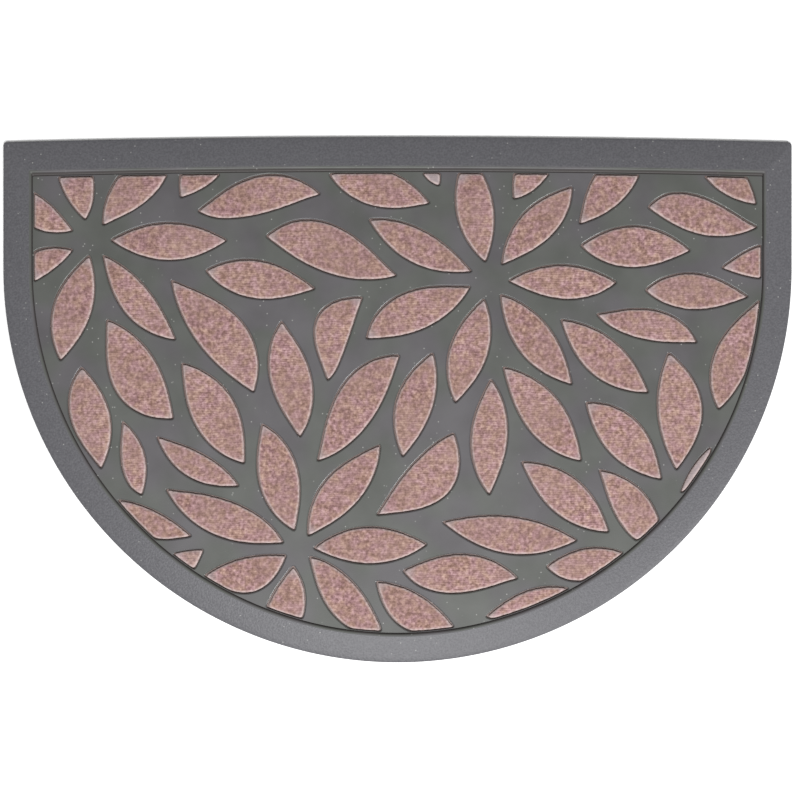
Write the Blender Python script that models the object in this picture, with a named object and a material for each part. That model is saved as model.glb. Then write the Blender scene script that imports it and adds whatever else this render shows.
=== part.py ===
"""A half-round doormat: one moulded rubber tray with a sloping border, and a
carpet inlay in each of its petal-shaped pockets.

Frame: origin under the middle of the mat's box, +X along its width, +Y towards
the straight back edge, +Z up. Sizes are in metres unless a name ends in MM.
"""
import math

import bmesh
import bpy
from mathutils import Vector

MM = 0.001

# Driving sizes of the rubber tray
MAT_WIDTH = 0.600
MAT_DEPTH = 0.400
FRONT_RADIUS = MAT_WIDTH / 2
BACK_BOW = 0.004            # how far the middle of the back edge stands out past its corners
CORNER_RADIUS = 0.003
BORDER_WIDTH = 0.0230
BACK_BORDER_WIDTH = 0.0255
POCKET_INSET = 0.0235       # pockets that run out of the field end this far from the arc and sides
POCKET_BACK_INSET = 0.0275  # and this far from the back edge
WEB_TOP = 0.0050            # height of the smooth rubber between the petals
POCKET_FLOOR = 0.0025

# Driving sizes of the inlays
SIDE_GAP = 0.0006           # dark crevice round each inlay
FLOOR_GAP = 0.0003
PILE_SHOULDER = 0.0012      # how far in from its side an inlay rounds over
CROWN_SCALE = 0.60          # size of an inlay's level crown against its shoulder
PILE_EDGE_TOP = 0.0044
PILE_SHOULDER_TOP = 0.0053
PILE_CROWN_TOP = 0.0057

# Section of the tray's rim, from under the mat, round the edge and up to the field.
# Columns: distance in from the edge, height. Along the back the distances are stretched
# to the wider border there.
RIM_SECTION = [
    (0.0010, 0.0000),
    (0.0000, 0.0008),
    (0.0000, 0.0022),
    (0.0010, 0.0031),
    (0.0100, 0.0049),
    (0.0195, 0.0063),
    (0.0215, 0.0065),
    (0.0226, 0.0062),
    (BORDER_WIDTH, WEB_TOP),
]

# Fineness of the outlines
FRONT_STEPS = 72
BACK_STEPS = 14
CORNER_STEPS = 3
PETAL_STEPS = 8             # along each side of a petal

# Petals, in millimetres. Each runs from its root to its tip. Left and right are how far
# its two sides bulge off that line, and the bellies say how far along each bulge is fullest.
# Columns: root x, root y, tip x, tip y, left, right, left belly, right belly
LEFT_FLOWER = [
    (-246, 114, -294, 82, 4.5, 15.5, 0.47, 0.50),
    (-246, 128, -298, 165, 16.0, 7.0, 0.48, 0.55),
    (-237, 136, -249, 218, 16.0, 11.0, 0.49, 0.41),
    (-224, 132, -171, 197, 14.5, 15.5, 0.45, 0.57),
    (-218, 121, -129, 121, 13.5, 15.5, 0.50, 0.50),
    (-224, 110, -168, 45, 9.0, 16.0, 0.46, 0.54),
    (-234, 110, -256, 29, 13.0, 16.5, 0.48, 0.53),
]
RIGHT_FLOWER = [
    (67, 104, 52, 190, 15.5, 13.5, 0.47, 0.50),
    (79, 102, 133, 162, 14.0, 13.5, 0.48, 0.56),
    (84, 90, 167, 89, 13.0, 13.5, 0.49, 0.55),
    (78, 80, 133, 11, 13.5, 15.5, 0.47, 0.51),
    (66, 77, 44, -3, 14.0, 15.5, 0.47, 0.53),
    (56, 86, -24, 46, 13.0, 18.5, 0.47, 0.58),
    (57, 97, -22, 137, 14.5, 11.5, 0.50, 0.54),
]
FRONT_FLOWER = [
    (-78, -100, -103, -18, 15.5, 16.0, 0.45, 0.55),
    (-68, -104, -13, -34, 16.0, 13.5, 0.45, 0.54),
    (-64, -113, 23, -110, 15.0, 13.5, 0.48, 0.52),
    (-67, -119, -9, -181, 11.0, 17.0, 0.44, 0.55),
    (-79, -126, -103, -205, 18.5, 11.0, 0.43, 0.54),
    (-84, -118, -148, -135, 21.0, 6.5, 0.48, 0.53),
    (-86, -109, -176, -68, 16.5, 12.5, 0.53, 0.43),
]
# Loose leaves that fill the field between the flowers, from the back to the front
LEAVES = [
    (-165, 153, -131, 212, 13.5, 17.5, 0.50, 0.52),
    (-152, 143, -58, 156, 20.5, 9.5, 0.56, 0.36),
    (-52, 171, 25, 149, 15.0, 14.0, 0.50, 0.46),
    (88, 152, 131, 212, 16.5, 11.0, 0.50, 0.41),
    (138, 133, 190, 197, 15.5, 14.5, 0.55, 0.50),
    (222, 190, 273, 148, 14.5, 10.0, 0.49, 0.51),
    (190, 146, 274, 131, 16.0, 13.5, 0.35, 0.54),
    (-100, 124, 0, 94, 23.5, 13.5, 0.40, 0.54),
    (139, 117, 223, 113, 17.0, 15.0, 0.50, 0.45),
    (246, 100, 328, 106, 17.0, 11.5, 0.53, 0.51),
    (-146, 98, -62, 84, 14.5, 15.0, 0.47, 0.45),
    (-172, 91, -109, 5, 25.0, 12.0, 0.57, 0.47),
    (188, 83, 267, 78, 15.5, 12.5, 0.45, 0.45),
    (-53, 14, -26, 78, 26.5, 3.0, 0.58, 0.25),
    (278, 78, 244, -8, 9.0, 19.0, 0.56, 0.57),
    (151, 65, 228, 43, 15.5, 9.0, 0.58, 0.42),
    (-88, 60, -74, -29, 16.0, 16.0, 0.55, 0.44),
    (-221, 61, -170, -15, 13.5, 25.0, 0.46, 0.57),
    (124, 61, 191, 5, 13.5, 16.5, 0.49, 0.52),
    (206, 36, 212, -54, 23.0, 11.5, 0.48, 0.49),
    (2, 34, -61, -47, 13.5, 20.5, 0.56, 0.41),
    (27, 36, 4, -44, 11.5, 17.0, 0.47, 0.51),
    (-164, 28, -116, -49, 18.5, 16.5, 0.47, 0.55),
    (80, 25, 140, -47, 16.5, 15.5, 0.48, 0.55),
    (-240, 25, -225, -53, 14.5, 16.0, 0.51, 0.43),
    (71, 16, 70, -73, 13.5, 15.0, 0.45, 0.54),
    (143, -2, 201, -61, 18.0, 14.0, 0.46, 0.51),
    (-209, -16, -194, -73, 10.0, 9.5, 0.49, 0.62),
    (-183, -28, -120, -66, 7.0, 14.0, 0.56, 0.49),
    (94, -47, 161, -101, 16.0, 14.0, 0.49, 0.53),
    (153, -53, 203, -116, 16.0, 13.0, 0.48, 0.59),
    (-156, -104, -212, -76, 16.0, 5.0, 0.55, 0.52),
    (-16, -88, 43, -25, 6.5, 28.5, 0.57, 0.57),
    (34, -93, 137, -107, 11.5, 17.5, 0.52, 0.51),
    (113, -127, 178, -119, 10.5, 14.5, 0.51, 0.42),
    (4, -130, 92, -136, 16.0, 15.0, 0.54, 0.39),
    (-16, -138, 47, -178, 9.0, 19.0, 0.48, 0.48),
    (67, -165, 133, -144, 9.5, 12.0, 0.54, 0.50),
]
# The three smallest, at the field's edge: their pockets are moulded, and take no solid inlay
SLIVERS = [
    (32, 162, 17, 197, 8.0, 6.5, 0.44, 0.50),
    (-147, -114, -216, -162, 14.5, 14.5, 0.50, 0.50),
    (238, -36, 215, -71, 8.0, 3.0, 0.50, 0.50),
]

# Finishes: base colour, roughness
RUBBER_FINISH = ((0.118, 0.118, 0.124, 1.0), 0.62)
PILE_FINISH = ((0.395, 0.245, 0.225, 1.0), 0.95)


def remove_everything():
    """Starts from a file with no objects in it."""
    for old in list(bpy.data.objects):
        bpy.data.objects.remove(old)


def arc(centre, radius, start, end, steps):
    """Points along an arc, from the start angle up to, and not with, the end angle."""
    turns = [start + (end - start) * i / steps for i in range(steps)]
    return [Vector((centre[0] + radius * math.cos(a), centre[1] + radius * math.sin(a))) for a in turns]


def mat_outline(inset, back_inset):
    """The mat's outline drawn in by one distance, and by another along its back.

    It runs counterclockwise from the right end of the back edge."""
    side_x = MAT_WIDTH / 2 - inset
    arc_centre = (0.0, FRONT_RADIUS - MAT_DEPTH / 2)
    back_radius = (MAT_WIDTH ** 2 / 4 + BACK_BOW ** 2) / (2 * BACK_BOW)
    back_centre_y = MAT_DEPTH / 2 - back_radius
    reach_x = side_x - CORNER_RADIUS
    reach = back_radius - back_inset - CORNER_RADIUS
    corner_y = back_centre_y + math.sqrt(reach ** 2 - reach_x ** 2)
    turn = math.atan2(corner_y - back_centre_y, reach_x)

    points = arc((reach_x, corner_y), CORNER_RADIUS, 0.0, turn, CORNER_STEPS)
    points += arc((0.0, back_centre_y), back_radius - back_inset, turn, math.pi - turn, BACK_STEPS)
    points += arc((-reach_x, corner_y), CORNER_RADIUS, math.pi - turn, math.pi, CORNER_STEPS)
    points.append(Vector((-side_x, corner_y)))
    points += arc(arc_centre, FRONT_RADIUS - inset, math.pi, 2 * math.pi, FRONT_STEPS)
    points.append(Vector((side_x, arc_centre[1])))
    return points


def bulge(along, belly):
    """A side's height, from 0 at both ends to 1 at its belly: a curve of the form t^a (1-t)^b."""
    rise = 2 * belly
    fall = 2 - rise
    peak = belly ** rise * (1 - belly) ** fall
    return along ** rise * (1 - along) ** fall / peak


def petal_outline(row):
    """One petal as a closed outline, counterclockwise: out along its right side, back along its left."""
    root_x, root_y, tip_x, tip_y, left, right, left_belly, right_belly = row
    root = Vector((root_x, root_y)) * MM
    chord = Vector((tip_x, tip_y)) * MM - root
    across = Vector((-chord.y, chord.x)).normalized() * MM
    steps = [i / PETAL_STEPS for i in range(PETAL_STEPS + 1)]
    out = [root + chord * t - across * right * bulge(t, right_belly) for t in steps[:-1]]
    back = [root + chord * t + across * left * bulge(t, left_belly) for t in reversed(steps[1:])]
    return out + back


def cross(a, b):
    """The z part of the cross product of two flat vectors."""
    return a.x * b.y - a.y * b.x


def clipped(outline, fence):
    """The part of an outline that lies inside a convex fence, one fence line at a time."""
    for i, start in enumerate(fence):
        line = fence[(i + 1) % len(fence)] - start
        depth = [cross(line, p - start) for p in outline]
        kept = []
        for j, p in enumerate(outline):
            k = (j + 1) % len(outline)
            if depth[j] >= 0:
                kept.append(p)
            if (depth[j] >= 0) != (depth[k] >= 0):
                kept.append(p.lerp(outline[k], depth[j] / (depth[j] - depth[k])))
        outline = kept
    return outline


def spaced(outline, shortest):
    """Drops points that lie closer than a distance to the one before them."""
    kept = []
    for p in outline:
        if not kept or (p - kept[-1]).length > shortest:
            kept.append(p)
    if (kept[0] - kept[-1]).length <= shortest:
        kept.pop()
    return kept


def drawn_in(outline, distance):
    """Moves each side of an outline in by a distance, with mitred corners.

    Where a side would vanish or turn round, its first point is dropped and the rest drawn again."""
    count = len(outline)
    moved = []
    for i, p in enumerate(outline):
        before = (p - outline[i - 1]).normalized()
        after = (outline[(i + 1) % count] - p).normalized()
        inward = Vector((-before.y - after.y, before.x + after.x))
        moved.append(p + inward * distance / (1 + before.dot(after)))
    for i in range(count):
        k = (i + 1) % count
        if (moved[k] - moved[i]).dot(outline[k] - outline[i]) <= 0:
            return drawn_in(outline[:i] + outline[i + 1:], distance)
    return moved


def centre_of(outline):
    """The middle of an outline's area."""
    area = 0.0
    centre = Vector((0.0, 0.0))
    for i, p in enumerate(outline):
        q = outline[(i + 1) % len(outline)]
        piece = cross(p, q)
        area += piece
        centre += (p + q) * piece / 3
    return centre / area


def stacked_mesh(name, levels):
    """A closed mesh from outlines at rising or falling levels, as (outline, height), with its two caps."""
    shape = bmesh.new()
    rings = [[shape.verts.new((p.x, p.y, height)) for p in outline] for outline, height in levels]
    for low, high in zip(rings, rings[1:]):
        for i in range(len(low)):
            k = (i + 1) % len(low)
            shape.faces.new((low[i], low[k], high[k], high[i]))
    shape.faces.new(list(reversed(rings[0])))
    shape.faces.new(rings[-1])
    mesh = bpy.data.meshes.new(name)
    shape.to_mesh(mesh)
    shape.free()
    return mesh


def finish(name, colour, roughness):
    """A plain material from a colour and a roughness."""
    material = bpy.data.materials.new(name)
    material.use_nodes = True
    shader = material.node_tree.nodes["Principled BSDF"]
    shader.inputs["Base Color"].default_value = colour
    shader.inputs["Roughness"].default_value = roughness
    shader.inputs["Metallic"].default_value = 0.0
    material.diffuse_color = colour
    return material


def add_object(mesh, material=None):
    """Puts a mesh in the scene as an object of its own name."""
    thing = bpy.data.objects.new(mesh.name, mesh)
    bpy.context.scene.collection.objects.link(thing)
    if material:
        mesh.materials.append(material)
    return thing


def pocket_outlines(rows):
    """The outlines that a table's petals leave in the rubber, cut off where the field ends."""
    fence = mat_outline(POCKET_INSET, POCKET_BACK_INSET)
    return [spaced(clipped(petal_outline(row), fence), SIDE_GAP * 2) for row in rows]


def pocket_cutter(outlines):
    """One hidden guide that holds the prism of every pocket."""
    above = WEB_TOP * 2
    shape = bmesh.new()
    for outline in outlines:
        prism = stacked_mesh("pocket", [(outline, POCKET_FLOOR), (outline, above)])
        shape.from_mesh(prism)
        bpy.data.meshes.remove(prism)
    mesh = bpy.data.meshes.new("pocket_guide")
    shape.to_mesh(mesh)
    shape.free()
    guide = add_object(mesh)
    guide.hide_render = True
    guide.display_type = "WIRE"
    return guide


def rubber_tray(outlines, material):
    """The moulded tray: its rim section carried round the outline, capped, and the pockets cut from it."""
    stretch = BACK_BORDER_WIDTH / BORDER_WIDTH
    levels = [(mat_outline(inset, inset * stretch), height) for inset, height in RIM_SECTION]
    tray = add_object(stacked_mesh("rubber_mat", levels), material)
    cut = tray.modifiers.new("pockets", "BOOLEAN")
    cut.operation = "DIFFERENCE"
    cut.solver = "EXACT"
    cut.object = pocket_cutter(outlines)
    return tray


def inlay(name, outline, material):
    """One carpet inlay: upright sides, a rounded shoulder and a low crown."""
    side = drawn_in(outline, SIDE_GAP)
    shoulder = shrunk_to_match(side, PILE_SHOULDER)
    middle = centre_of(shoulder)
    crown = [middle + (p - middle) * CROWN_SCALE for p in shoulder]
    levels = [
        (side, POCKET_FLOOR + FLOOR_GAP),
        (side, PILE_EDGE_TOP),
        (shoulder, PILE_SHOULDER_TOP),
        (crown, PILE_CROWN_TOP),
    ]
    return add_object(stacked_mesh(name, levels), material)


def shrunk_to_match(side, distance):
    """Draws an outline in towards its middle, point for point, by a distance at its broadest."""
    middle = centre_of(side)
    half_breadth = min((p - middle).length for p in side)
    scale = 1 - distance / half_breadth
    return [middle + (p - middle) * scale for p in side]


def build():
    """The tray, and an inlay for each petal of the tables."""
    remove_everything()
    rubber = finish("rubber", *RUBBER_FINISH)
    pile = finish("pile", *PILE_FINISH)
    groups = {
        "left_flower": LEFT_FLOWER,
        "right_flower": RIGHT_FLOWER,
        "front_flower": FRONT_FLOWER,
        "leaf": LEAVES,
    }
    pockets = pocket_outlines(SLIVERS)
    for group, rows in groups.items():
        outlines = pocket_outlines(rows)
        pockets += outlines
        for number, outline in enumerate(outlines, start=1):
            inlay(f"{group}_{number:02d}", outline, pile)
    rubber_tray(pockets, rubber)


build()
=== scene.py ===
# %% [markdown]
# # A half-round doormat
# The mat is one rubber moulding with petal-shaped pockets, and a pad of carpet pile sits in
# each pocket. The solids of the part give the plan: this script reads the outlines of the
# pockets from them, draws finer surfaces on the same outlines, and gives them their finish.

# %% Load the frame
import math

import bpy
import numpy as np
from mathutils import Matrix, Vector
from mathutils.geometry import delaunay_2d_cdt


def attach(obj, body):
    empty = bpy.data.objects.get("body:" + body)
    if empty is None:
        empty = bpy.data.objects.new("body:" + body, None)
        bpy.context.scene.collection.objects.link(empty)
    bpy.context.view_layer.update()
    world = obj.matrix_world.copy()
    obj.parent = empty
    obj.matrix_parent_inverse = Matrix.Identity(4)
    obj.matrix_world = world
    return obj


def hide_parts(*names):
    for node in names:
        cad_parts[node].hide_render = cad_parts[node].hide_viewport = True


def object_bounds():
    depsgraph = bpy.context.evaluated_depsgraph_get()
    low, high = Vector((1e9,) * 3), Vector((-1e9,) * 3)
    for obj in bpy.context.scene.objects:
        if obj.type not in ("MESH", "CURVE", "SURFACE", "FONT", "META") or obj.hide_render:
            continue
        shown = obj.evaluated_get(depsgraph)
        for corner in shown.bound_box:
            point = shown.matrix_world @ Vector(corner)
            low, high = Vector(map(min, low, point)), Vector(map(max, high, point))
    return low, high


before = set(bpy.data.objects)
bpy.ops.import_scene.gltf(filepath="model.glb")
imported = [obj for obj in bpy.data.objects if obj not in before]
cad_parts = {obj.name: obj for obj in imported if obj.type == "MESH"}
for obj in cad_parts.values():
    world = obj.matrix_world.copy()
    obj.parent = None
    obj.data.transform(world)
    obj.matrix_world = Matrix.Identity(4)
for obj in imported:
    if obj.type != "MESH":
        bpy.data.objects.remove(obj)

cad_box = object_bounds()
LOW, HIGH = np.array(cad_box[0]), np.array(cad_box[1])
print("frame:", len(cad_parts), "nodes, box", np.round(HIGH - LOW, 4))

# %% [markdown]
# ## Sizes
# Everything is in metres. The mat's width and depth come from the frame. The heights are the
# levels that the solids have, so a finer surface lies where its solid lies. The back edge is a
# shallow arc, and its radius follows from how far its middle stands out.

# %% Name the sizes
MAT_WIDTH, MAT_DEPTH = (HIGH - LOW)[:2]
BACK_BOW = 0.004          # the back edge's middle stands out past its corners
BACK_RADIUS = (MAT_WIDTH ** 2 / 4 + BACK_BOW ** 2) / (2 * BACK_BOW)
BACK_CENTRE = np.array([0, MAT_DEPTH / 2 - BACK_RADIUS])
CORNER_RADIUS = 0.003
BORDER = 0.0230           # width of the sloping border on the arc and the sides
BACK_BORDER = 0.0271      # and along the back, with its wider groove
WEB_TOP = 0.0050          # smooth rubber between the petals
POCKET_FLOOR = 0.0025
PILE_UNDERSIDE = 0.0028
PILE_EDGE = 0.0040        # height of the pile where it meets its crevice
SIDE_GAP = 0.0006         # width of the crevice
TOUCH = 1e-5              # points nearer than this are one point

rubber_node = "rubber_mat"
inlay_nodes = sorted(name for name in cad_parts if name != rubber_node)
print("inlays:", len(inlay_nodes), "back radius:", round(BACK_RADIUS, 2))

# %% [markdown]
# ## Read the pockets from the tray
# A pocket's floor is a patch of level triangles. The outline of a patch is made of the edges
# that only one triangle has, and following them end to end gives one closed loop for each
# pocket. No outline is typed in here.

# %% Find the loops


def level_triangles(node, height):
    """Plan corners of a node's level triangles at one height, as an array (triangles, 3, 2)."""
    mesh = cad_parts[node].data
    points = np.empty(len(mesh.vertices) * 3)
    mesh.vertices.foreach_get("co", points)
    corners = np.empty(len(mesh.loops), dtype=np.int64)
    mesh.loops.foreach_get("vertex_index", corners)
    triangles = points.reshape(-1, 3)[corners.reshape(-1, 3)]
    level = np.abs(triangles[:, :, 2] - height).max(axis=1) < TOUCH
    return triangles[level][:, :, :2]


def rim_loops(triangles):
    """The closed outlines of a set of flat triangles, each as an array of points."""
    keys = np.round(triangles / TOUCH).astype(np.int64)
    place = {tuple(k): p for k, p in zip(keys.reshape(-1, 2), triangles.reshape(-1, 2))}
    edges = {(tuple(t[i]), tuple(t[(i + 1) % 3])) for t in keys for i in range(3)}
    following = {a: b for a, b in edges if (b, a) not in edges}
    loops = []
    while following:
        start = min(following)
        chain = [start]
        here = following.pop(start)
        while here != start:
            chain.append(here)
            here = following.pop(here)
        loops.append(np.array([place[k] for k in chain]))
    return loops


pocket_loops = rim_loops(level_triangles(rubber_node, POCKET_FLOOR))
print("pockets:", len(pocket_loops), "with", sum(map(len, pocket_loops)), "points")

# %% [markdown]
# ## Draw the loops finely
# The solids keep their outlines to a few points, which would show as flats along a petal. A
# cubic curve goes through the points of each stretch between two corners. Then the loop is
# spaced evenly and averaged a few times, which rounds its corners by about a millimetre, as
# moulded rubber and cut carpet do.

# %% Smooth a loop
SPACING = 0.0012          # between points of a fine outline
SAMPLES = 12              # points of the cubic curve for each point that it goes through
CORNER_TURN = 0.70        # a sharper turn than this, in radians, is a corner
ROUNDING_PASSES = 2


def travelled(points):
    """How far along a row of points each of them lies."""
    return np.r_[0, np.cumsum(np.hypot(*np.diff(points, axis=0).T))]


def stretch(points):
    """A cubic curve through a row of points, with each tangent taken from its two neighbours."""
    if len(points) < 3:
        return np.linspace(points[0], points[-1], SAMPLES)[:-1]
    t = travelled(points)
    tangent = np.empty_like(points)
    tangent[1:-1] = (points[2:] - points[:-2]) / (t[2:] - t[:-2])[:, None]
    first, last = (points[1] - points[0]) / t[1], (points[-1] - points[-2]) / (t[-1] - t[-2])
    tangent[0] = 2 * first - tangent[1]
    tangent[-1] = 2 * last - tangent[-2]
    s = np.linspace(0, t[-1], SAMPLES * len(points))[:-1]
    k = np.clip(np.searchsorted(t, s, side="right") - 1, 0, len(points) - 2)
    h = (t[k + 1] - t[k])[:, None]
    f = ((s - t[k]) / (t[k + 1] - t[k]))[:, None]
    return ((1 + 2 * f) * (1 - f) ** 2 * points[k] + f * (1 - f) ** 2 * h * tangent[k]
            + f ** 2 * (3 - 2 * f) * points[k + 1] + f ** 2 * (f - 1) * h * tangent[k + 1])


def evenly_spaced(loop, spacing):
    """A closed loop's points set out at even steps along it."""
    closed = np.vstack([loop, loop[:1]])
    t = travelled(closed)
    s = np.linspace(0, t[-1], max(16, round(t[-1] / spacing)) + 1)[:-1]
    return np.c_[np.interp(s, t, closed[:, 0]), np.interp(s, t, closed[:, 1])]


def averaged(loop):
    """A closed loop with each point a quarter of the way towards each of its two neighbours."""
    return (np.roll(loop, 1, axis=0) + 2 * loop + np.roll(loop, -1, axis=0)) / 4


def smoothed(loop):
    """A fine, evenly spaced outline through a coarse one, with its corners a little rounded."""
    into = loop - np.roll(loop, 1, axis=0)
    out = np.roll(loop, -1, axis=0) - loop
    turn = np.arctan2(into[:, 0] * out[:, 1] - into[:, 1] * out[:, 0], (into * out).sum(axis=1))
    corners = np.flatnonzero(np.abs(turn) > CORNER_TURN)
    loop = np.roll(loop, -corners[0], axis=0)
    ends = np.r_[corners - corners[0], len(loop)]
    loop = np.vstack([loop, loop[:1]])
    fine = np.vstack([stretch(loop[a:b + 1]) for a, b in zip(ends, ends[1:])])
    fine = evenly_spaced(fine, SPACING)
    for _ in range(ROUNDING_PASSES):
        fine = averaged(fine)
    return fine


fine_loops = [smoothed(loop) for loop in pocket_loops]
print("fine outlines:", sum(map(len, fine_loops)), "points")

# %% [markdown]
# ## Loosen the pockets and keep them off the border
# Round a real pad there is a dark crevice, widest towards the mat's left back corner, so each
# pocket is let out a little all round and moved a little that way. Some pockets are cut off by
# the border. A point that comes too near the border's groove is pulled back: straight across
# the mat, or towards the half circle's centre, or away from the back edge.

# %% Let out and hold in
BORDER_CLEARANCE = 0.00060
BACK_CLEARANCE = 0.00035
LOOSE_ALL_ROUND = 0.00022
LOOSE_TOWARDS = (-0.00018, 0.00018)


def outward(loop):
    """Unit normals that point out of a counterclockwise loop."""
    along = np.roll(loop, -1, axis=0) - np.roll(loop, 1, axis=0)
    along /= np.hypot(*along.T)[:, None]
    return np.c_[along[:, 1], -along[:, 0]]


def reach(loop):
    """How far out each point lies, and how far in front of the half circle's centre. Out is
    counted from that centre in front of it, and from the mat's middle line behind it."""
    low = np.minimum(loop[:, 1] - (MAT_WIDTH - MAT_DEPTH) / 2, 0)
    return np.hypot(loop[:, 0], low), low


def back_reach(loop):
    """How far each point lies from the centre of the back edge's long arc."""
    return np.hypot(*(loop - BACK_CENTRE).T)


def held_in(loop):
    """A loop whose points are pulled towards the mat's middle where they come near the border."""
    out, low = reach(loop)
    scale = np.minimum(1, (MAT_WIDTH / 2 - BORDER - BORDER_CLEARANCE) / out)
    loop = np.c_[loop[:, 0] * scale, loop[:, 1] + low * (scale - 1)]
    scale = np.minimum(1, (BACK_RADIUS - BACK_BORDER - BACK_CLEARANCE) / back_reach(loop))
    return BACK_CENTRE + (loop - BACK_CENTRE) * scale[:, None]


def loosened(loop):
    """A pocket's outline let out all round, and a little more towards the left back corner."""
    return loop + outward(loop) * LOOSE_ALL_ROUND + np.array(LOOSE_TOWARDS)


pockets = [held_in(loosened(loop)) for loop in fine_loops]
print("farthest out, of", MAT_WIDTH / 2, ":", round(max(reach(p)[0].max() for p in pockets), 4))

# %% [markdown]
# ## The mat's outline at any distance in
# The border, the groove and the web's edge all follow the mat's outline, each some way in from
# it. So the outline is a function of that distance: arcs and straight sides with fewer
# millimetres on their radii, and always the same number of points, so that rings match.

# %% Draw the outline
FRONT_STEPS, BACK_STEPS, CORNER_STEPS, SIDE_STEPS = 360, 120, 10, 20
CORNER_SHARPENING = 0.75  # share of a corner's radius that is gone at the border's inner edge


def arc(x, y, radius, start, end, steps):
    """Points at even angles on a circle round x, y, without the one at the end angle."""
    a = np.linspace(start, end, steps, endpoint=False)
    return np.c_[x + radius * np.cos(a), y + radius * np.sin(a)]


def mat_outline(inset, back_inset):
    """The mat's plan drawn in: a back arc of a long radius, two rounded corners, two straight
    sides and a half circle in front, counterclockwise from the right back corner."""
    radius = MAT_WIDTH / 2
    side_x = radius - inset
    back_y = BACK_CENTRE[1]
    corner = CORNER_RADIUS * (1 - CORNER_SHARPENING * inset / BORDER)
    reach_x = side_x - corner
    corner_y = back_y + math.sqrt((BACK_RADIUS - back_inset - corner) ** 2 - reach_x ** 2)
    turn = math.atan2(corner_y - back_y, reach_x)
    centre_y = radius - MAT_DEPTH / 2
    side = np.linspace(corner_y, centre_y, SIDE_STEPS, endpoint=False)
    return np.vstack([
        arc(reach_x, corner_y, corner, 0, turn, CORNER_STEPS),
        arc(0, back_y, BACK_RADIUS - back_inset, turn, math.pi - turn, BACK_STEPS),
        arc(-reach_x, corner_y, corner, math.pi - turn, math.pi, CORNER_STEPS),
        np.c_[np.full(SIDE_STEPS, -side_x), side],
        arc(0, centre_y, side_x, math.pi, 2 * math.pi, FRONT_STEPS),
        np.c_[np.full(SIDE_STEPS, side_x), side[0] + centre_y - side],
    ])


print("outline:", len(mat_outline(0, 0)), "points")

# %% [markdown]
# ## The border as a section carried round
# The rim has one section everywhere: up from the floor, over a small round, up a gentle slope
# and down a rounded step into a narrow groove beside the web. Carrying a section along a path
# is a grid: one index runs along the section, the other round the outline, and the position is
# the outline drawn in by the section's distance. Along the back the border is wider and its
# groove is wider still, so a second table gives the distances there.

# %% Carry the rim's section round the mat
# Columns: distance in from the edge, height
RIM_SECTION = np.array([
    (0.00100, 0.00000), (0.00045, 0.00008), (0.00012, 0.00035), (0.00000, 0.00080),
    (0.00000, 0.00200), (0.00010, 0.00245), (0.00040, 0.00280), (0.00100, 0.00308),
    (0.00400, 0.00368), (0.00800, 0.00448), (0.01200, 0.00524), (0.01600, 0.00586),
    (0.01850, 0.00618), (0.02000, 0.00640), (0.02060, 0.00648), (0.02110, 0.00645),
    (0.02160, 0.00624), (0.02205, 0.00578), (0.02240, 0.00520), (0.02258, 0.00472),
    (0.02268, 0.00446), (0.02282, 0.00438), (0.02291, 0.00456), (0.02300, 0.00500),
])
# Columns: distance in on the arc and the sides, distance in along the back
BACK_INSETS = np.array([
    (0.00000, 0.00000), (0.02060, 0.02280), (0.02160, 0.02400), (0.02240, 0.02480),
    (0.02282, 0.02630), (BORDER, BACK_BORDER),
])


def carried(loops, heights):
    """Stacks plan loops of one length at their heights, as an array (levels, points, 3)."""
    loops = np.asarray(loops)
    levels = np.broadcast_to(np.asarray(heights)[:, None, None], loops.shape[:2] + (1,))
    return np.concatenate([loops, levels], axis=2)


back_insets = np.interp(RIM_SECTION[:, 0], *BACK_INSETS.T)
rim_rings = [mat_outline(*insets) for insets in zip(RIM_SECTION[:, 0], back_insets)]
rim = carried(rim_rings, RIM_SECTION[:, 1])
print("rim grid:", rim.shape)

# %% [markdown]
# ## A lip round each pocket
# The rubber turns over into each pocket with a small round, which catches the light as a thin
# bright line on one side of a petal and stays dark on the other. It is the same idea as the
# rim: a section of a few points, carried along the pocket's outline on its outward normal.

# %% Carry the lip's section round each pocket
# Columns: distance out from the pocket's wall, height
LIP_SECTION = np.array([
    (0.00090, WEB_TOP), (0.00078, 0.00498), (0.00068, 0.00494), (0.00030, 0.00475),
    (0.00018, 0.00466), (0.00007, 0.00445), (0.00000, 0.00415), (0.00000, POCKET_FLOOR),
])
LIP_WIDTH = LIP_SECTION[0, 0]
LIP_MARGIN = 0.00015      # web left between a lip and the border's groove


def pocket_wall(loop):
    """The lip's section on a pocket's outline, as a grid (levels, points, 3). Beside the border
    the lip is as narrow as the room there."""
    room = np.minimum(MAT_WIDTH / 2 - BORDER - reach(loop)[0],
                      BACK_RADIUS - BACK_BORDER - back_reach(loop)) - LIP_MARGIN
    step = outward(loop) * np.clip(room / LIP_WIDTH, 0, 1)[:, None]
    return carried([loop + step * d for d, _ in LIP_SECTION], LIP_SECTION[:, 1])


walls = [pocket_wall(loop) for loop in pockets]
print("pocket walls:", sum(w.shape[0] * w.shape[1] for w in walls), "points")

# %% [markdown]
# ## The web between the pockets
# The web is flat, with 62 holes. Blender's constrained triangulation fills the plan between
# the border's inner ring and the lips' outer rings. It also fills the holes, so a triangle
# whose corners are all on one lip is kept only if its middle lies outside that lip.

# %% Fill the web
INSIDE_ONLY = 1           # the triangulation's mode that drops what lies past the outer ring
MERGE_DISTANCE = 1e-7


def inside(point, loop):
    """Whether a point lies in a loop: a ray from it to the right crosses the loop an odd number
    of times."""
    a, b = loop, np.roll(loop, -1, axis=0)
    straddles = (a[:, 1] > point[1]) != (b[:, 1] > point[1])
    a, b = a[straddles], b[straddles]
    crossing = a[:, 0] + (point[1] - a[:, 1]) * (b[:, 0] - a[:, 0]) / (b[:, 1] - a[:, 1])
    return np.count_nonzero(crossing > point[0]) % 2 == 1


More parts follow.
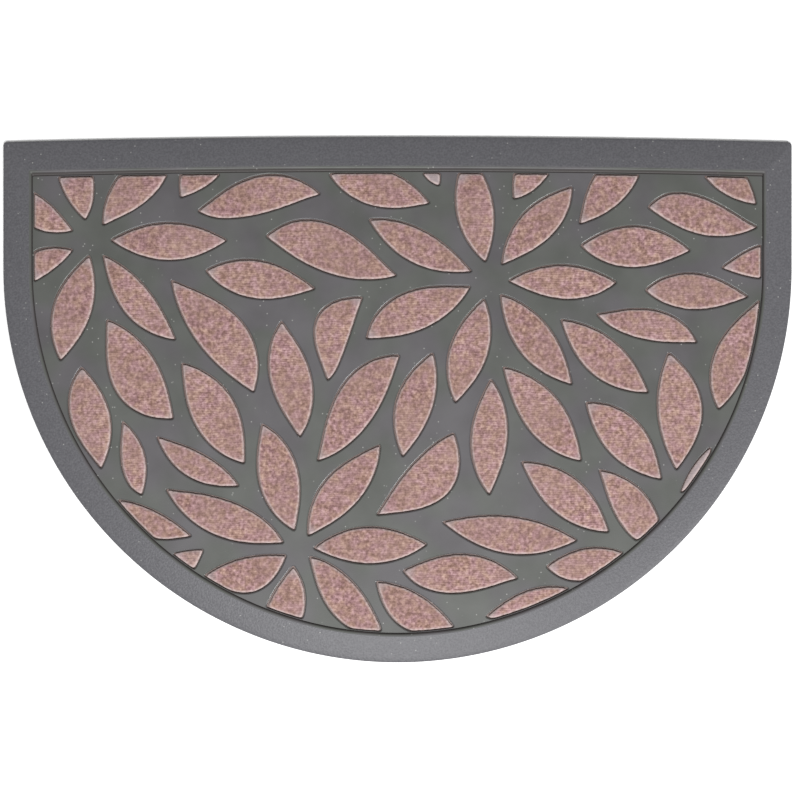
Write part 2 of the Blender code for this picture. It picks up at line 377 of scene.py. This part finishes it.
def ring_edges(start, count):
    """Index pairs that join a ring's points in order and close it."""
    here = np.arange(count)
    return np.c_[start + here, start + (here + 1) % count]


def web_triangles(rings):
    """Triangles between an outer ring and the holes after it, as indices into their stacked
    points."""
    starts = np.r_[0, np.cumsum([len(r) for r in rings])]
    owner = np.repeat(np.arange(len(rings)), [len(r) for r in rings])
    points = np.vstack(rings)
    edges = np.vstack([ring_edges(s, len(r)) for s, r in zip(starts, rings)])
    _, _, faces, origin, _, _ = delaunay_2d_cdt(
        [Vector(p) for p in points], edges.tolist(), [], INSIDE_ONLY, MERGE_DISTANCE)
    assert all(len(o) == 1 for o in origin)
    source = np.array([o[0] for o in origin])
    triangles = source[np.array(faces)]
    owners = owner[triangles]
    kept = np.ones(len(triangles), dtype=bool)
    for k in np.flatnonzero((owners == owners[:, :1]).all(axis=1) & (owners[:, 0] > 0)):
        kept[k] = not inside(points[triangles[k]].mean(axis=0), rings[owners[k, 0]])
    return triangles[kept]


web_rings = [rim[-1, :, :2]] + [w[0, :, :2] for w in walls]
web_faces = web_triangles(web_rings)
print("web:", len(web_faces), "triangles")

# %% [markdown]
# ## One closed rubber skin
# The rim's grid, the pocket walls and the web share their rings, so stacking the points once
# and counting the indices gives one closed skin. The floor of each pocket and the underside
# are flat faces across a ring.

# %% Build the rubber tray


def grid_faces(start, levels, count):
    """Quads of a closed grid whose rings follow each other, as rows of four indices."""
    level, here = np.divmod(np.arange((levels - 1) * count), count)
    after = (here + 1) % count
    low, high = start + level * count, start + (level + 1) * count
    return np.c_[low + here, low + after, high + after, high + here]


def new_object(name, points, faces, level_faces=0):
    """A mesh object at the origin, smooth but for the level faces at the end of its list."""
    mesh = bpy.data.meshes.new(name)
    mesh.from_pydata(points, [], faces)
    mesh.polygons.foreach_set("use_smooth", np.arange(len(faces)) < len(faces) - level_faces)
    thing = bpy.data.objects.new(name, mesh)
    bpy.context.scene.collection.objects.link(thing)
    return thing


def rubber_skin():
    """The tray's points, its curved faces, and its level ones: underside, floors and web."""
    points = [rim.reshape(-1, 3)]
    rim_count = rim.shape[1]
    curved = grid_faces(0, len(rim), rim_count).tolist()
    level = [list(range(rim_count))[::-1]]
    web_index = [(len(rim) - 1) * rim_count + np.arange(rim_count)]
    start = rim.shape[0] * rim_count
    for wall in walls:
        levels, count = wall.shape[:2]
        curved += grid_faces(start, levels, count)[:, ::-1].tolist()
        level.append((start + (levels - 1) * count + np.arange(count)).tolist())
        web_index.append(start + np.arange(count))
        points.append(wall.reshape(-1, 3))
        start += levels * count
    level += np.concatenate(web_index)[web_faces].tolist()
    return np.vstack(points), curved, level


skin_points, curved_faces, level_faces = rubber_skin()
tray = new_object("rubber_tray", skin_points, curved_faces + level_faces, len(level_faces))
print("rubber tray:", len(tray.data.polygons), "faces")

# %% [markdown]
# ## Carpet pile as a grid across each pocket
# A petal has two tips, and they are the two points of its outline that lie farthest apart.
# They cut the outline into two sides. One parameter runs from tip to tip along both sides, the
# other crosses from one side to the other. At the tips the rows shrink to a point, so those
# two rows share one vertex each. Both parameters take finer steps towards the outline, where
# the pile bends most.

# %% Lay the grid in an outline
CELL = 0.00085            # between the grid's points
ROWS_PER_CELL = 1.1       # the sides are longer than the line between the tips
SPARE_COLUMNS = 4
TIP_CROWDING = 0.12
EDGE_CROWDING = 0.25


def tips(loop):
    """The indices of a loop's two points that lie farthest apart."""
    apart = np.hypot(*(loop[:, None] - loop[None]).transpose(2, 0, 1))
    return sorted(divmod(int(apart.argmax()), len(loop)))


def chain(points, count):
    """A row of points respaced to a count, at steps a little finer towards the ends."""
    t = travelled(points)
    even = np.linspace(0, 1, count)
    s = t[-1] * (even - TIP_CROWDING * np.sin(2 * math.pi * even) / math.pi)
    return np.c_[np.interp(s, t, points[:, 0]), np.interp(s, t, points[:, 1])]


def petal_grid(loop):
    """Plan points (rows, columns, 2) that fill a loop from tip to tip."""
    a, b = tips(loop)
    near, far = loop[a:b + 1], np.vstack([loop[b:], loop[:a + 1]])[::-1]
    length = np.hypot(*(loop[b] - loop[a]))
    rows = round(ROWS_PER_CELL * length / CELL)
    near, far = chain(near, rows), chain(far, rows)
    width = np.hypot(*(far - near).T).max()
    columns = round(width / CELL) + SPARE_COLUMNS
    even = np.linspace(0, 1, columns)
    across = even - EDGE_CROWDING * np.sin(2 * math.pi * even) / (2 * math.pi)
    across = across[None, :, None]
    return near[:, None] * (1 - across) + far[:, None] * across


def distance_in(grid, loop):
    """The distance of each grid point from a loop's nearest edge."""
    a, ab = loop, np.roll(loop, -1, axis=0) - loop
    p = grid.reshape(-1, 1, 2)
    f = np.clip(((p - a) * ab).sum(axis=2) / (ab ** 2).sum(axis=1), 0, 1)
    gap = p - (a + f[:, :, None] * ab)
    return np.sqrt((gap ** 2).sum(axis=2).min(axis=1)).reshape(grid.shape[:2])


print("grid of the first pocket:", petal_grid(pockets[0]).shape[:2])

# %% [markdown]
# ## The height of the pile
# Needled pile is lowest where its pad meets the crevice, rises over a rounded shoulder and
# stays nearly level in the middle. On top of that lie the fibres: smooth random relief in two
# sizes, made from a lattice of random heights. Its place comes from the mat's own
# coordinates, so neighbouring pads don't repeat each other.

# %% Shape the top of a pad
SHOULDER_WIDTH, SHOULDER_RISE = 0.0021, 0.0013
CROWN_RISE = 0.0003
LUMP_SIZE, LUMP_RISE = 0.0034, 0.00012
TUFT_SIZE, TUFT_RISE = 0.0017, 0.00010
EDGE_RELIEF = 0.35        # share of the relief that is left at the outline
LATTICE = 256
lattice = np.random.default_rng(7).random((2, LATTICE, LATTICE))


def tufts(x, y, size, layer):
    """Smooth random relief from -1 to 1, with lumps of about the given size. Each point blends
    the lattice's four heights round it; the metre that is added keeps the indices positive."""
    u, v = (x + 1) / size, (y + 1) / size
    i, j = np.floor(u).astype(int), np.floor(v).astype(int)
    f, g = u - i, v - j
    f, g = f * f * (3 - 2 * f), g * g * (3 - 2 * g)

    def at(di, dj):
        return lattice[layer, (i + di) % LATTICE, (j + dj) % LATTICE]

    low = at(0, 0) * (1 - f) + at(1, 0) * f
    high = at(0, 1) * (1 - f) + at(1, 1) * f
    return 2 * (low * (1 - g) + high * g) - 1


def pile_height(x, y, d, widest):
    """The pile's height at plan points that lie a distance d in from the outline: a quarter
    round up to the shoulder, a slow crown, and the relief."""
    near = np.clip(d / SHOULDER_WIDTH, 0, 1)
    shoulder = SHOULDER_RISE * np.sqrt(1 - (1 - near) ** 2)
    crown = CROWN_RISE * np.sin(math.pi / 2 * np.clip(d / widest, 0, 1))
    relief = LUMP_RISE * tufts(x, y, LUMP_SIZE, 0) + TUFT_RISE * tufts(x, y, TUFT_SIZE, 1)
    return PILE_EDGE + shoulder + crown + relief * (EDGE_RELIEF + (1 - EDGE_RELIEF) * near)


depths = np.array([0, SHOULDER_WIDTH / 2, SHOULDER_WIDTH, 2 * SHOULDER_WIDTH])
print("pile, mm:", np.round(pile_height(0 * depths, 0 * depths, depths, depths[-1]) * 1000, 2))

# %% [markdown]
# ## A pad as a closed mesh
# A pad is the grid with its heights, a skirt that drops straight down from the outline, and a
# flat underside. How far a point is from the outline is kept with the mesh, so that the
# material can let the worn edge turn paler. The skirt's foot counts as outside the outline.

# %% Close a pad
SKIRT_DEPTH = 0.0010


def pad_mesh(loop, underside):
    """Points, faces and edge distances of one closed pad."""
    plan = petal_grid(loop)
    d = distance_in(plan, loop)
    z = pile_height(plan[:, :, 0], plan[:, :, 1], d, max(d.max(), SHOULDER_WIDTH))
    rows, columns = d.shape
    index = np.empty((rows, columns), dtype=int)
    index[0], index[-1] = 0, 1
    index[1:-1] = 2 + np.arange((rows - 2) * columns).reshape(rows - 2, columns)
    top = np.dstack([plan, z])
    points = np.vstack([top[:1, 0], top[-1:, 0], top[1:-1].reshape(-1, 3)])
    depth = np.r_[d[0, 0], d[-1, 0], d[1:-1].ravel()]
    quads = np.stack([index[:-1, :-1], index[1:, :-1], index[1:, 1:], index[:-1, 1:]], axis=-1)
    faces = quads[1:-1].reshape(-1, 4).tolist()
    faces += quads[0][:, [0, 1, 2]].tolist() + quads[-1][:, [0, 1, 3]].tolist()
    ring = np.r_[index[:, 0], index[-2:0:-1, -1]]
    under = len(points) + np.arange(len(ring))
    low = points[ring].copy()
    low[:, 2] = underside
    faces += np.c_[ring, under, np.roll(under, -1), np.roll(ring, -1)].tolist()
    faces.append(under[::-1].tolist())
    return np.vstack([points, low]), faces, np.r_[depth, np.full(len(ring), -SKIRT_DEPTH)]


print("pad in the first pocket:", len(pad_mesh(pockets[0], PILE_UNDERSIDE)[1]), "faces")

# %% [markdown]
# ## The pads' outlines
# Each pad follows the outline of its solid. Real pile is cut, not moulded: its edge stands a
# little free of the rubber, and here and there fibres stand out or are lost. The same random
# relief as on the top moves the outline in and out by that much.

# %% Fray the outlines
EXTRA_GAP = 0.00022       # the cut edge stands this far free of the rubber
FRAY, FRAY_SIZE = 0.95, 0.0021


def frayed(loop):
    """A loop moved in by the extra gap, give or take a little where fibres stand out or are lost."""
    loss = EXTRA_GAP * (1 + FRAY * tufts(loop[:, 0], loop[:, 1], FRAY_SIZE, 1))
    return loop - outward(loop) * loss[:, None]


def area_of(loop):
    """The plan area that a loop encloses: half the sum of its edges' cross products."""
    after = np.roll(loop, -1, axis=0)
    return abs((loop[:, 0] * after[:, 1] - after[:, 0] * loop[:, 1]).sum()) / 2


def pad_outline(node):
    """The frayed outline of one inlay. A downward face's loop runs clockwise, so it is turned."""
    return frayed(held_in(smoothed(rim_loops(level_triangles(node, PILE_UNDERSIDE))[0][::-1])))


outlines = {node: pad_outline(node) for node in inlay_nodes}
print("pile area, square metres:", round(sum(map(area_of, outlines.values())), 4))

# %% [markdown]
# ## A pad for each pocket
# Dust gathers at a pad's ends, most at the end nearest the mat's left back corner. How dusty a
# point is falls off evenly with its distance from the tip, and it is kept with the mesh too.

# %% Build the pads
DUSTY_REACH = 0.009       # how far the dust reaches from the left tip
RIGHT_TIP_DUST = 0.65     # dust at the right tip, against 1 at the left


def point_values(thing, name, values):
    """Keeps a number for each point of an object's mesh, under a name that materials can read."""
    kept = thing.data.attributes.new(name, "FLOAT", "POINT")
    kept.data.foreach_set("value", values)


def pad(name, loop, dust=0.0):
    """One pad as an object. It keeps its edge distance, in millimetres, and how dusty it is: at
    least as dusty all over as the number given."""
    points, faces, depth = pad_mesh(loop, PILE_UNDERSIDE)
    thing = new_object(name, points, faces, level_faces=1)
    point_values(thing, "from_edge", depth * 1000)
    left, right = sorted((loop[k] for k in tips(loop)), key=lambda tip: tip[0] - 0.5 * tip[1])
    near_left = 1 - np.hypot(*(points[:, :2] - left).T) / DUSTY_REACH
    near_right = RIGHT_TIP_DUST - np.hypot(*(points[:, :2] - right).T) / DUSTY_REACH
    point_values(thing, "dusty", np.clip(np.maximum(near_left, near_right), dust, 1))
    return thing


pads = {node: pad("pile_" + node, loop) for node, loop in outlines.items()}
print("pads:", len(pads), "with", sum(len(p.data.polygons) for p in pads.values()), "faces")

# %% [markdown]
# ## The three smallest pads
# The parts folder holds no more nodes, so three small pockets have no solid of their own. They
# are the pockets that hold no pad yet. Two of their pads are dusty all over.

# %% Fill the pockets that are left
SHRINK_STEPS = 4
SMALL_DUST = (0.25, 0.95, 0.95)     # three-cornered pad, tip at the back edge, sliver on the arc


def shrunk(loop, distance):
    """A loop moved in along its normals in small steps, averaged so that its tips stay clean."""
    for _ in range(SHRINK_STEPS):
        loop = averaged(loop - outward(loop) * distance / SHRINK_STEPS)
    return loop


def flat_size(loop):
    """Width and length of a loop, across and along the line between its tips."""
    a, b = tips(loop)
    along = (loop[b] - loop[a]) / np.hypot(*(loop[b] - loop[a]))
    turned = loop @ np.array([[-along[1], along[0]], [along[0], along[1]]]).T
    return tuple(float(s) for s in np.ptp(turned, axis=0))


centres = [loop.mean(axis=0) for loop in outlines.values()]
spare = [loop for loop in pockets if not any(inside(c, loop) for c in centres)]
slivers = [shrunk(loop, SIDE_GAP) for loop in spare]
sliver_pads = [pad("pile_small_%d" % (k + 1), loop, dust)
               for k, (loop, dust) in enumerate(zip(slivers, SMALL_DUST))]
print("small pads:", [np.round(np.array(flat_size(loop)) * 1000, 1).tolist() for loop in slivers])

# %% [markdown]
# ## Finishes as node graphs
# Each finish is a graph of shader nodes on a Principled BSDF. Small helpers keep the graphs
# short. The first ones add a node with its values, start a material, read a number kept at the
# mesh's points, and make noise of a size given in metres.

# %% Helpers for nodes


def node_in(tree, kind, sockets=None, **properties):
    """Adds a shader node; its sockets are given by name, as values or as other nodes' outputs."""
    made = tree.nodes.new(kind)
    for key, value in properties.items():
        setattr(made, key, value)
    for key, value in (sockets or {}).items():
        if isinstance(value, bpy.types.NodeSocket):
            tree.links.new(value, made.inputs[key])
        else:
            made.inputs[key].default_value = value
    return made


def finish_material(name, build):
    """A new material whose Principled BSDF is filled in by a function of its node tree."""
    made = bpy.data.materials.new(name)
    made.use_nodes = True
    build(made.node_tree, made.node_tree.nodes["Principled BSDF"].inputs)
    return made


def attribute(tree, name):
    """A number kept at the mesh's points."""
    return node_in(tree, "ShaderNodeAttribute", attribute_name=name).outputs["Fac"]


def plan_place(tree):
    """The place of the point that is shaded, in the mat's own coordinates."""
    return node_in(tree, "ShaderNodeTexCoord").outputs["Object"]


def noise(tree, size, detail=2.0):
    """Noise in the mat's coordinates, whose lumps are about size metres across."""
    sockets = {"Vector": plan_place(tree), "Scale": 1 / size, "Detail": detail}
    return node_in(tree, "ShaderNodeTexNoise", sockets).outputs["Fac"]


def bumped(tree, inputs, height, strength, distance):
    """Feeds a height to the shader as a bump of some strength and depth."""
    sockets = {"Height": height, "Strength": strength, "Distance": distance}
    bump = node_in(tree, "ShaderNodeBump", sockets)
    tree.links.new(bump.outputs[0], inputs["Normal"])


print("kept at each point of a pad:", [kept.name for kept in sliver_pads[0].data.attributes
                                       if kept.data_type == "FLOAT"])

# %% [markdown]
# The other helpers work on numbers and colours: they spread a number over another range,
# multiply or add two numbers, mix two colours, and run a number through a ramp of colours.

# %% Helpers for numbers and colours


def spread(tree, factor, low, high, to_low=0.0, to_high=1.0):
    """A number mapped from one range onto another, and held inside it."""
    sockets = {"Value": factor, "From Min": low, "From Max": high,
               "To Min": to_low, "To Max": to_high}
    return node_in(tree, "ShaderNodeMapRange", sockets).outputs["Result"]


def product(tree, a, b):
    """Two numbers multiplied; each may be plain or another node's output."""
    return node_in(tree, "ShaderNodeMath", {0: a, 1: b}, operation="MULTIPLY").outputs[0]


def total(tree, a, b):
    """Two numbers added."""
    return node_in(tree, "ShaderNodeMath", {0: a, 1: b}, operation="ADD").outputs[0]


def mixed(tree, factor, a, b, blend="MIX"):
    """Two colours mixed by a factor; each may be a colour or another node's output."""
    a, b = (c if isinstance(c, bpy.types.NodeSocket) else tuple(c) + (1,) for c in (a, b))
    made = node_in(tree, "ShaderNodeMix", {0: factor, 6: a, 7: b}, data_type="RGBA",
                   blend_type=blend)
    return made.outputs[2]


def ramp(tree, factor, *colours, start=0.0, end=1.0):
    """A colour ramp through colours that are spaced evenly from the start to the end."""
    made = node_in(tree, "ShaderNodeValToRGB", {"Fac": factor})
    while len(made.color_ramp.elements) < len(colours):
        made.color_ramp.elements.new(1.0)
    places = np.linspace(start, end, len(colours))
    for element, place, colour in zip(made.color_ramp.elements, places, colours):
        element.position = place
        element.color = tuple(colour) + (1,)
    return made.outputs["Color"]


print("helpers:", spread.__name__, product.__name__, total.__name__, mixed.__name__, ramp.__name__)

# %% [markdown]
# ## Mark the parts of the rubber
# One material covers the whole moulding. So that it can tell the parts apart, each point keeps
# four numbers: whether it is on the grained border, how deep it is in the groove beside the
# border, where the colour is darkened as painted shade, how far down a pocket's wall it is, and
# whether it is on a lip.

# %% Keep the marks with the tray
GRAIN_END = 0.0204        # the border's grain stops this far in from the edge
WALL_TOP, WALL_FADE = 0.0047, 0.0010      # a wall takes its own colour below this height
# Columns: distance in from the edge, share of the groove's painted shade
GROOVE_SHADE_PROFILE = np.array([(0.0216, 0.0), (0.0225, 0.9), (0.0229, 0.9), (0.0230, 0.0)])
rim_total = rim.shape[0] * rim.shape[1]


def on_rim(shares):
    """One value for each row of the rim's section, given to its points; 0 at all the others."""
    values = np.zeros(len(skin_points))
    values[:rim_total] = np.repeat(shares, rim.shape[1])
    return values


border_share = on_rim(RIM_SECTION[:, 0] < GRAIN_END)
# how much painted shade each row of the rim's section gets in the groove beside the border
groove_shade_share = on_rim(np.interp(RIM_SECTION[:, 0], *GROOVE_SHADE_PROFILE.T))
pocket_share = np.clip((WALL_TOP - skin_points[:, 2]) / WALL_FADE, 0, 1)
pocket_share[:rim_total] = 0
lip_rows = [np.repeat(np.arange(len(wall)) > 0, wall.shape[1]) for wall in walls]
lip_share = np.concatenate([np.zeros(rim_total)] + lip_rows)
point_values(tray, "border", border_share)
point_values(tray, "groove", groove_shade_share)
point_values(tray, "pocket", pocket_share)
point_values(tray, "lip", lip_share)
print("border on", int(border_share.sum()), "points, lips on", int(lip_share.sum()))

# %% [markdown]
# ## Rubber
# The moulding is dark grey and matt. Its border has a fine pebbled grain from the mould. The
# web between the petals is smooth, drifts slowly between a greenish and a bluish grey, and
# carries a few pale specks of dust. The lips are worn smoother than the rest, so they shine a
# little. The groove beside the border is painted darker as shade, and the pockets' walls have
# the colour of the dirt and lint in them.

# %% Give the tray its rubber
GREENISH = ((0.061, 0.064, 0.058), (0.080, 0.083, 0.077))
BLUISH = ((0.066, 0.062, 0.066), (0.085, 0.081, 0.086))
GRAINED = ((0.070, 0.069, 0.076), (0.093, 0.092, 0.100))
SPECK_COLOUR, SPECK_STRENGTH = (0.40, 0.40, 0.38), 0.55
# painted shade: the groove beside the border is coloured darker than the rubber round it
GROOVE_SHADE_COLOUR = (0.038, 0.033, 0.032)
WALL_COLOUR = (0.205, 0.152, 0.140)
MATT, POLISHED = 0.45, 0.27


def dust_specks(tree, cell, radius):
    """1 inside small round dots, one somewhere in each cell of the plan, else 0."""
    sockets = {"Vector": plan_place(tree), "Scale": 1 / cell}
    dots = node_in(tree, "ShaderNodeTexVoronoi", sockets, voronoi_dimensions="2D")
    return spread(tree, dots.outputs["Distance"], 0.4 * radius / cell, radius / cell, 1.0, 0.0)


def rubber_finish(tree, inputs):
    """Dusty dark grey with a pebbled bump where the border attribute is 1."""
    cloud = spread(tree, noise(tree, size=0.030, detail=3.0), 0.3, 0.7)
    hue = spread(tree, noise(tree, size=0.040, detail=1.0), 0.42, 0.60)
    smooth = mixed(tree, hue, ramp(tree, cloud, *GREENISH), ramp(tree, cloud, *BLUISH))
    border = attribute(tree, "border")
    pebble = noise(tree, size=0.0015)
    base = mixed(tree, border, smooth, ramp(tree, pebble, *GRAINED, start=0.35, end=0.65))
    rare = spread(tree, noise(tree, size=0.012, detail=0.0), 0.56, 0.70)
    speck = product(tree, dust_specks(tree, cell=0.009, radius=0.0006), rare)
    dusted = mixed(tree, product(tree, speck, SPECK_STRENGTH), base, SPECK_COLOUR)
    # painted shade: the groove beside the border is darkened
    groove_shaded = mixed(tree, attribute(tree, "groove"), dusted, GROOVE_SHADE_COLOUR)
    walled = mixed(tree, attribute(tree, "pocket"), groove_shaded, WALL_COLOUR)
    tree.links.new(walled, inputs["Base Color"])
    gloss = spread(tree, attribute(tree, "lip"), 0, 1, MATT, POLISHED)
    tree.links.new(gloss, inputs["Roughness"])
    inputs["Specular IOR Level"].default_value = 0.30
    fine = product(tree, noise(tree, size=0.0008, detail=1.0), 0.12)
    relief = total(tree, product(tree, pebble, border), fine)
    bumped(tree, inputs, relief, strength=0.5, distance=0.0004)


rubber = finish_material("rubber_finish", rubber_finish)
tray.data.materials.append(rubber)
print("rubber graph:", len(rubber.node_tree.nodes), "nodes")

# %% [markdown]
# ## Needled pile
# The pile is dusty pink with brown, from fibres of both colours. Close up it is a fine speckle
# with faint rows across the mat, and its hue drifts between pink and brown every few
# millimetres and, more slowly, over several centimetres. The worn edge of each pad shows pale
# fibre ends, and its ends are dusty. The shade comes from noise, the edge and the dust from
# the numbers kept with the mesh. A soft sheen stands for the fibres' fuzz.

# %% Give the pads their pile
HEATHER = ((0.140, 0.080, 0.072), (0.268, 0.169, 0.160), (0.425, 0.298, 0.280))
PINK_TINT, BROWN_TINT = (1.03, 0.96, 1.05), (1.03, 1.01, 0.88)
SLOW_BROWN, SLOW_SHARE = (0.228, 0.150, 0.130), 0.35
DUST_COLOUR, DUST_STRENGTH = (0.262, 0.228, 0.236), 0.85
WORN_COLOUR = (0.450, 0.365, 0.352)
SKIRT_COLOUR = (0.360, 0.240, 0.225)


def ribs(tree, pitch, sway):
    """Bands from 0 to 1 that repeat along Y, bent a little by noise."""
    sockets = {"Vector": plan_place(tree), "Scale": math.pi / 10 / pitch, "Distortion": sway,
               "Detail": 1.0, "Detail Scale": 0.6}
    return node_in(tree, "ShaderNodeTexWave", sockets, bands_direction="Y").outputs["Fac"]


def pile_colour(tree, rows):
    """Two-coloured speckle and faint rows, tinted by two drifts, and dusty where marked."""
    rib_share = spread(tree, noise(tree, size=0.060, detail=0.0), 0.40, 0.60, 0.02, 0.10)
    speckle = total(tree, noise(tree, size=0.0023, detail=2.5), product(tree, rows, rib_share))
    heather = ramp(tree, spread(tree, speckle, 0.34, 0.80), *HEATHER)
    drift = spread(tree, noise(tree, size=0.0070), 0.38, 0.62)
    tinted = mixed(tree, 1.0, heather, mixed(tree, drift, PINK_TINT, BROWN_TINT), "MULTIPLY")
    slow = product(tree, spread(tree, noise(tree, size=0.035), 0.35, 0.65), SLOW_SHARE)
    toned = mixed(tree, slow, tinted, SLOW_BROWN)
    return mixed(tree, product(tree, attribute(tree, "dusty"), DUST_STRENGTH), toned, DUST_COLOUR)


def pile_finish(tree, inputs):
    """The pile's colour, paler in patches along the edge and another colour down the skirt."""
    rows = ribs(tree, pitch=0.0018, sway=5.0)
    edge = attribute(tree, "from_edge")
    patches = spread(tree, noise(tree, size=0.0025), 0.35, 0.60, 0.30, 0.95)
    worn = product(tree, spread(tree, edge, 0.3, 1.9, 1.0, 0.0), patches)
    pale = mixed(tree, worn, pile_colour(tree, rows), WORN_COLOUR)
    skirt = spread(tree, edge, -0.6, 0.25, 1.0, 0.0)
    tree.links.new(mixed(tree, skirt, pale, SKIRT_COLOUR), inputs["Base Color"])
    inputs["Roughness"].default_value = 0.95
    inputs["Specular IOR Level"].default_value = 0.15
    inputs["Sheen Weight"].default_value = 0.2
    inputs["Sheen Roughness"].default_value = 0.5
    inputs["Sheen Tint"].default_value = (0.90, 0.80, 0.78, 1)
    fibres = total(tree, noise(tree, size=0.0014), product(tree, rows, 0.12))
    bumped(tree, inputs, fibres, strength=0.45, distance=0.0008)


pile = finish_material("pile_finish", pile_finish)
for thing in list(pads.values()) + sliver_pads:
    thing.data.materials.append(pile)
print("pile on", len(pads) + len(sliver_pads), "pads")

# %% [markdown]
# ## Fit the pieces to the part
# Each fine piece stands for its solid, which is hidden but stays for collision. A pad is a
# piece of cloth that lies in the rubber; its cut size is worked out but not kept.


def lay_in_tray(thing, loop):
    """Attaches a pad to the root body. Its cut size is worked out but not kept."""
    width, length = flat_size(loop)
    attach(thing, "root")


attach(tray, "root")
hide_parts(rubber_node)
for node, thing in pads.items():
    lay_in_tray(thing, outlines[node])
    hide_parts(node)
for thing, loop in zip(sliver_pads, slivers):
    lay_in_tray(thing, loop)
print("pieces:", 1 + len(pads) + len(sliver_pads))

# %% [markdown]
# ## Floor and light
# The mat lies on a near-white floor. A white world gives the even fill, one area lamp from the
# front right draws the thin shadows along the lips, and a softer one in front, where the
# rubber mirrors it towards the camera, gives the near border its haze.

# %% Set the stage
FLOOR_HALF = 4.0
WORLD_STRENGTH = 0.44
# Columns: name, place, size, power
LAMPS = (("key", (2.2, -2.1, 2.4), 0.55, 84), ("front", (-0.04, -0.95, 1.8), 0.7, 40))


def floor_finish(tree, inputs):
    """Plain matt near-white."""
    inputs["Base Color"].default_value = (0.92, 0.92, 0.92, 1)
    inputs["Roughness"].default_value = 0.9


def area_lamp(name, place, size, power):
    """A square area lamp that faces the middle of the mat."""
    data = bpy.data.lights.new(name, "AREA")
    data.size = size
    data.energy = power
    lamp = bpy.data.objects.new(name, data)
    lamp.location = place
    lamp.rotation_euler = (-Vector(place)).to_track_quat("-Z", "Y").to_euler()
    bpy.context.scene.collection.objects.link(lamp)
    return lamp


corners = [(-FLOOR_HALF, -FLOOR_HALF, 0), (FLOOR_HALF, -FLOOR_HALF, 0),
           (FLOOR_HALF, FLOOR_HALF, 0), (-FLOOR_HALF, FLOOR_HALF, 0)]
ground = new_object("floor", corners, [(0, 1, 2, 3)], level_faces=1)
ground.data.materials.append(finish_material("floor_finish", floor_finish))

world = bpy.data.worlds.new("studio")
world.use_nodes = True
background = world.node_tree.nodes["Background"].inputs
background["Color"].default_value = (1, 1, 1, 1)
background["Strength"].default_value = WORLD_STRENGTH
bpy.context.scene.world = world
lamps = [area_lamp(*lamp) for lamp in LAMPS]
print("lamps:", [lamp.name for lamp in lamps])

# %% [markdown]
# ## Camera
# The photograph looks straight down, from far enough away that the border's outer wall doesn't
# show. A long lens does that. The camera's height follows from the width that the frame shows
# at the level of the web, and the mat lies a millimetre or two off the frame's middle.

# %% Place the camera
FOCAL, SENSOR = 85, 36    # millimetres
FRAME_WIDTH = 0.6076      # width of the frame at the web's level
CAMERA_X, CAMERA_Y = 0.0019, -0.00025

lens = bpy.data.cameras.new("camera")
lens.lens, lens.sensor_width = FOCAL, SENSOR
camera = bpy.data.objects.new("camera", lens)
camera.location = (CAMERA_X, CAMERA_Y, WEB_TOP + FRAME_WIDTH * FOCAL / SENSOR)
bpy.context.scene.collection.objects.link(camera)
bpy.context.scene.camera = camera
bpy.context.scene.view_settings.view_transform = "Standard"
print("camera height:", round(camera.location.z, 3))
